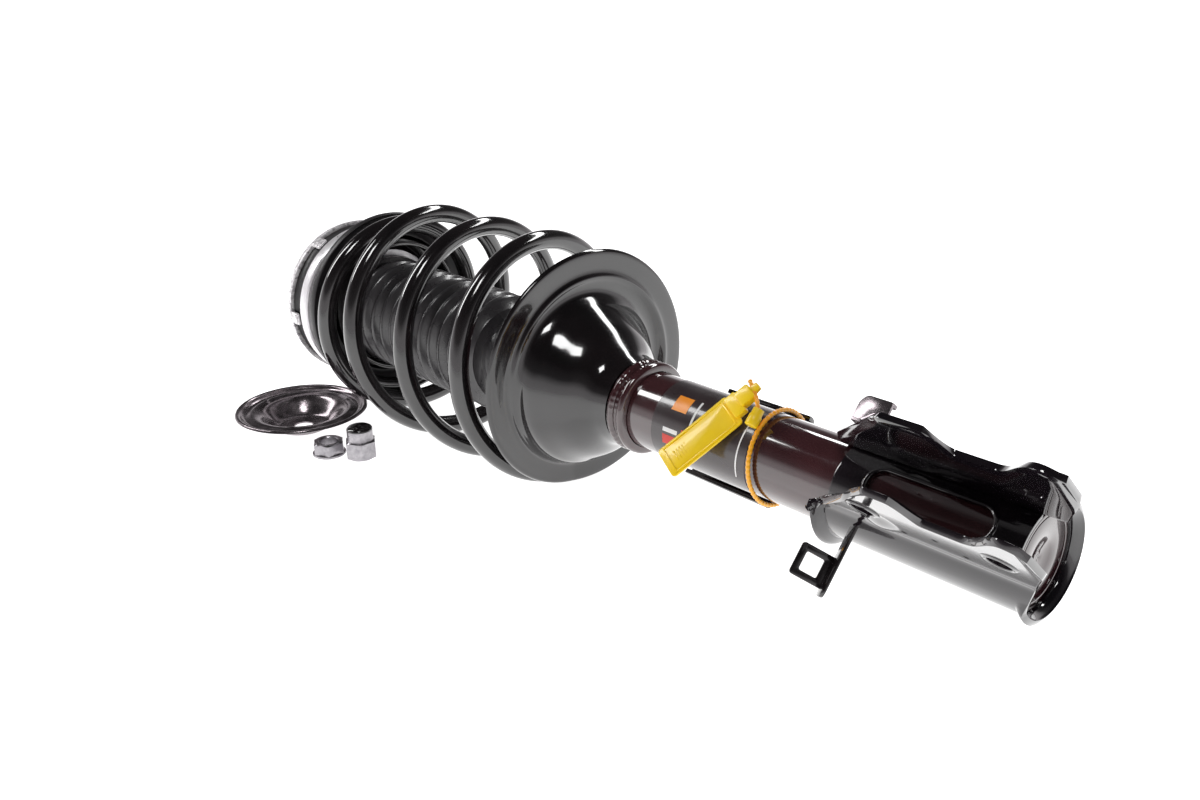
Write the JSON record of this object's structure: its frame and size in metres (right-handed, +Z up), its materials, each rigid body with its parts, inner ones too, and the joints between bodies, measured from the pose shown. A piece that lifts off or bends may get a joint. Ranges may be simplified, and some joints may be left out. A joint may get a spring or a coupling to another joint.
{
  "type": "suspension strut assembly",
  "caption": "Coil-over suspension strut lying on its side: damper tube with knuckle clamp bracket, spring, seat pan, bellows and top mount, with loose cup and nuts.",
  "frame": {"origin": "centre of the upper knuckle bolt hole, midway between the bracket's two ears", "axes": "+X along the strut's axis from top mount to knuckle bracket, +Z up as the part lies in the picture, +Y away from the picture's camera"},
  "size_m": [0.7, 0.2404, 0.181],
  "materials": {
    "black_paint": "gloss",
    "tube_paint": "gloss",
    "zinc": "bright zinc",
    "hard_chrome": "ground",
    "rubber": "satin",
    "bellows_rubber": "satin",
    "foam": "foamed",
    "pale_plastic": "speckled",
    "bearing_steel": "polished",
    "label_film": "gloss",
    "tag_plastic": "gloss",
    "strap_plastic": "gloss",
    "cup_steel": "gloss",
    "nut_steel": "satin"
  },
  "bodies": {
    "strut_body": {"strut_tube": "tube_paint", "base_cap": "tube_paint", "knuckle_bracket": "black_paint", "bracket_insert": "black_paint", "lower_spring_seat": "black_paint", "seat_collar": "tube_paint", "lower_spring_pad": "rubber", "coil_spring": "black_paint", "spring_end_sleeve": "rubber", "stabilizer_link_bracket": "black_paint", "brake_hose_bracket": "black_paint", "lead_bracket": "black_paint", "label_sleeve": "label_film", "seal_tag": "tag_plastic", "seal_strap": "strap_plastic", "pressure_tube": "zinc", "foot_valve": "zinc", "rod_guide": "zinc", "rod_seal": "rubber", "tube_end_cap": "black_paint", "dust_bellows": "bellows_rubber"},
    "upper_seat": {"upper_spring_seat": "black_paint", "upper_spring_pad": "rubber", "bearing_lower_race": "zinc"},
    "ball_cage": {"bearing_cage": "pale_plastic", "bearing_balls": "bearing_steel"},
    "top_mount": {"bearing_upper_race": "black_paint", "mount_plate": "zinc", "mount_rubber": "rubber", "mount_core": "zinc", "mount_cover": "pale_plastic", "bump_stop": "foam", "piston_rod": "hard_chrome", "piston": "zinc", "piston_band": "label_film", "piston_nut": "zinc", "rebound_stop": "rubber", "rod_washer": "zinc", "rod_nut": "zinc"},
    "loose_cup": {"retainer_cup": "cup_steel"},
    "loose_tower_nut": {"tower_nut": "nut_steel", "nut_cap": "black_paint"},
    "loose_spare_nut": {"spare_nut": "zinc"}
  },
  "joints": [
    {"name": "strut_travel", "type": "slide", "parent": "strut_body", "child": "upper_seat", "axis": [1, 0, 0], "range_m": [0, 0.1], "stiffness_N_per_m": 25000, "springref_m": -0.04, "deforming": ["coil_spring", "dust_bellows"]},
    {"name": "bearing_swivel", "type": "hinge", "parent": "upper_seat", "child": "top_mount", "pos_m": [-0.54, 0.03925, -0.03411], "axis": [1, 0, 0], "continuous": true},
    {"name": "ball_cage_turn", "type": "hinge", "parent": "upper_seat", "child": "ball_cage", "pos_m": [-0.54, 0.03925, -0.03411], "axis": [1, 0, 0], "continuous": true},
    {"name": "lift_cup", "type": "slide", "parent": "strut_body", "child": "loose_cup", "axis": [0, -0.9, 0.4359], "range_m": [0, 0.2]},
    {"name": "lift_tower_nut", "type": "slide", "parent": "strut_body", "child": "loose_tower_nut", "axis": [0, 0, 1], "range_m": [0, 0.2]},
    {"name": "lift_spare_nut", "type": "slide", "parent": "strut_body", "child": "loose_spare_nut", "axis": [0.3501, -0.9302, 0.11], "range_m": [0, 0.2]}
  ],
  "couplings": [
    {"joint": "ball_cage_turn", "follows": "bearing_swivel", "ratio": 0.5}
  ]
}
